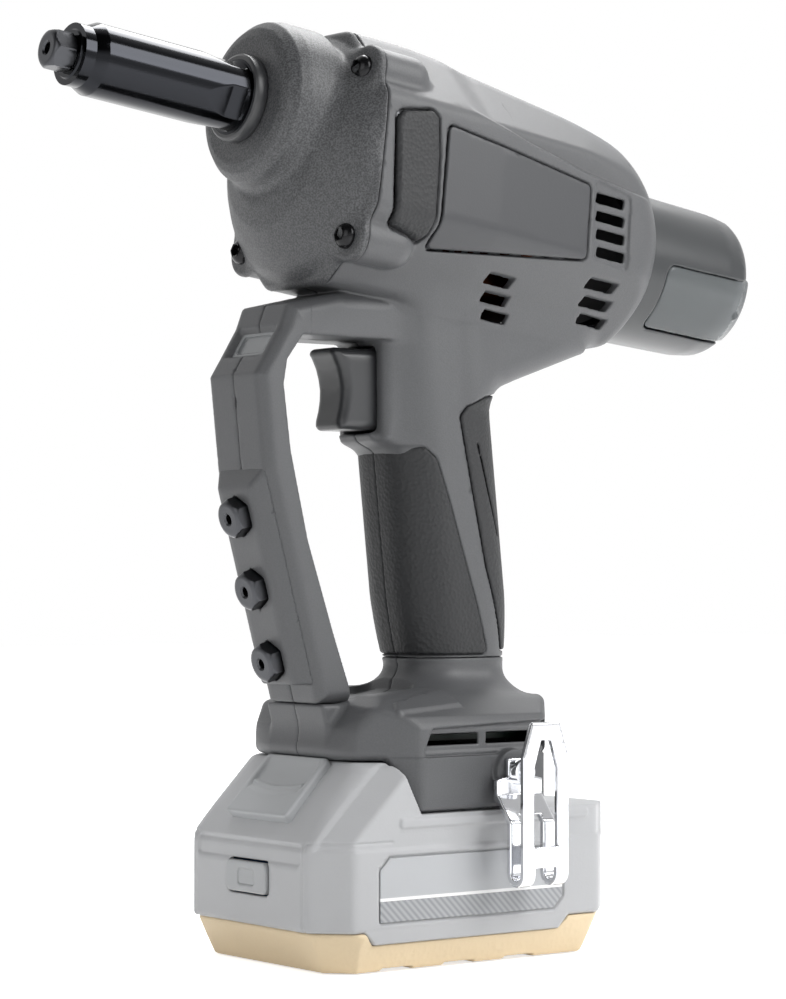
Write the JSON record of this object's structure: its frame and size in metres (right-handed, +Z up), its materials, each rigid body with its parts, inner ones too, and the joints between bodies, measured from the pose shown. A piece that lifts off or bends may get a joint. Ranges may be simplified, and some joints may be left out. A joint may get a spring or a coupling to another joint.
{
  "type": "battery rivet tool",
  "caption": "Pistol-grip battery tool that sets blind rivets, with a tilted nose, a hand guard, a clear stem collector and a slide-on battery.",
  "frame": {"origin": "middle of the battery's underside", "axes": "+Z up from the battery, -X towards the nose, +Y to the tool's right side"},
  "size_m": [0.2475, 0.0904, 0.2683],
  "materials": {
    "nylon_housing": "moulded, fine spark-eroded grain",
    "cover_casting": "powder coated die casting",
    "black_rubber": "moulded, leather grain",
    "black_plastic": "moulded, smooth",
    "dark_steel": "blackened and polished",
    "black_screw": "black oxide",
    "bright_steel": "ground",
    "bearing_steel": "ground",
    "gear_steel": "hobbed",
    "cast_aluminium": "die cast",
    "bronze": "sintered",
    "copper_winding": "enamelled wire and steel sheets",
    "shroud_plastic": "moulded, satin",
    "clear_plastic": "clear moulded",
    "badge_plastic": "satin plate",
    "circuit_board": "solder mask",
    "contact_plastic": "moulded with metal blades",
    "chrome_steel": "polished plate",
    "battery_grey": "moulded, fine grain",
    "battery_tan": "moulded, fine grain",
    "latch_grey": "moulded with ridges",
    "cell_sleeve": "shrink sleeve over steel",
    "holder_plastic": "moulded"
  },
  "bodies": {
    "tool": {"housing_left": "nylon_housing", "housing_right": "nylon_housing", "trigger_guard": "nylon_housing", "foot_left": "nylon_housing", "foot_right": "nylon_housing", "front_cover": "cover_casting", "cover_screws": "black_screw", "nose_ring": "black_rubber", "nose_sleeve": "dark_steel", "nozzle": "dark_steel", "front_bearing": "bearing_steel", "thrust_bearing": "bearing_steel", "gear_case": "cast_aluminium", "pinion_bush": "bronze", "ring_gear": "gear_steel", "stator": "copper_winding", "motor_mount": "cast_aluminium", "motor_bearings": "bearing_steel", "anti_turn_rail": "bright_steel", "mandrel_guide": "bright_steel", "rear_bulkhead": "black_plastic", "trigger_switch": "black_plastic", "lamp_lens": "clear_plastic", "guard_pad": "nylon_housing", "spare_nozzles": "dark_steel", "grip_rubber_left": "black_rubber", "grip_rubber_right": "black_rubber", "rear_rubber": "black_rubber", "side_pads": "black_rubber", "side_badges": "badge_plastic", "half_screws": "black_screw", "control_board": "circuit_board", "terminal_block": "contact_plastic", "belt_hook": "chrome_steel", "hook_screw": "chrome_steel"},
    "nut": {"ball_nut": "bright_steel", "nut_gear": "gear_steel"},
    "pull": {"pull_screw": "bright_steel", "jaw_case": "bright_steel", "jaws": "bright_steel", "jaw_pusher": "bright_steel", "jaw_spring": "bright_steel"},
    "drive": {"planet_carrier": "gear_steel", "pinion": "gear_steel"},
    "planet_a": {"planet_1": "gear_steel"},
    "planet_b": {"planet_2": "gear_steel"},
    "planet_c": {"planet_3": "gear_steel"},
    "rotor": {"rotor": "bright_steel", "cooling_fan": "black_plastic"},
    "collector": {"collector_shroud": "shroud_plastic", "collector_bottle": "clear_plastic"},
    "trigger": {"trigger": "black_plastic"},
    "battery": {"battery_case": "battery_grey", "battery_tray": "battery_tan", "battery_cells": "cell_sleeve", "cell_holders": "holder_plastic", "battery_board": "circuit_board", "battery_plates": "battery_grey"},
    "latch": {"battery_latch": "latch_grey"},
    "gauge": {"gauge_button": "black_plastic"}
  },
  "joints": [
    {"name": "nut_spin", "type": "hinge", "parent": "tool", "child": "nut", "pos_m": [-0.0156, 0, 0.24042], "axis": [0.9925, 0, -0.1219], "range_deg": [-1, 1801]},
    {"name": "pull_slide", "type": "slide", "parent": "tool", "child": "pull", "axis": [0.9925, 0, -0.1219], "range_m": [0, 0.025]},
    {"name": "drive_spin", "type": "hinge", "parent": "tool", "child": "drive", "pos_m": [-0.02322, 0, 0.21114], "axis": [0.9925, 0, -0.1219], "range_deg": [-2701, 1]},
    {"name": "rotor_spin", "type": "hinge", "parent": "tool", "child": "rotor", "pos_m": [0.02045, 0, 0.20577], "axis": [0.9925, 0, -0.1219], "range_deg": [-12961, 1]},
    {"name": "planet_a_spin", "type": "hinge", "parent": "drive", "child": "planet_a", "pos_m": [-0.02035, 0, 0.20172], "axis": [0.9925, 0, -0.1219], "range_deg": [-1, 7329.57]},
    {"name": "planet_b_spin", "type": "hinge", "parent": "drive", "child": "planet_b", "pos_m": [-0.01871, 0.00779, 0.21512], "axis": [0.9925, 0, -0.1219], "range_deg": [-1, 7329.57]},
    {"name": "planet_c_spin", "type": "hinge", "parent": "drive", "child": "planet_c", "pos_m": [-0.01871, -0.00779, 0.21512], "axis": [0.9925, 0, -0.1219], "range_deg": [-1, 7329.57]},
    {"name": "trigger_pull", "type": "slide", "parent": "tool", "child": "trigger", "axis": [1, 0, 0], "range_m": [0, 0.006], "stiffness_N_per_m": 900, "springref_m": -0.002},
    {"name": "collector_pull", "type": "slide", "parent": "tool", "child": "collector", "axis": [0.9925, 0, -0.1219], "range_m": [0, 0.06]},
    {"name": "battery_slide", "type": "slide", "parent": "tool", "child": "battery", "axis": [-1, 0, 0], "range_m": [0, 0.1]},
    {"name": "latch_press", "type": "slide", "parent": "battery", "child": "latch", "axis": [-0.691, 0, -0.7229], "range_m": [0, 0.003], "stiffness_N_per_m": 1200, "springref_m": -0.001},
    {"name": "gauge_press", "type": "slide", "parent": "battery", "child": "gauge", "axis": [1, 0, 0], "range_m": [0, 0.0008], "stiffness_N_per_m": 1000, "springref_m": -0.0005}
  ],
  "couplings": [
    {"joint": "nut_spin", "follows": "pull_slide", "rad_per_m": 1256.6},
    {"joint": "drive_spin", "follows": "pull_slide", "rad_per_m": -1885},
    {"joint": "rotor_spin", "follows": "pull_slide", "rad_per_m": -9047.8},
    {"joint": "planet_a_spin", "follows": "pull_slide", "rad_per_m": 5116.3},
    {"joint": "planet_b_spin", "follows": "pull_slide", "rad_per_m": 5116.3},
    {"joint": "planet_c_spin", "follows": "pull_slide", "rad_per_m": 5116.3}
  ]
}
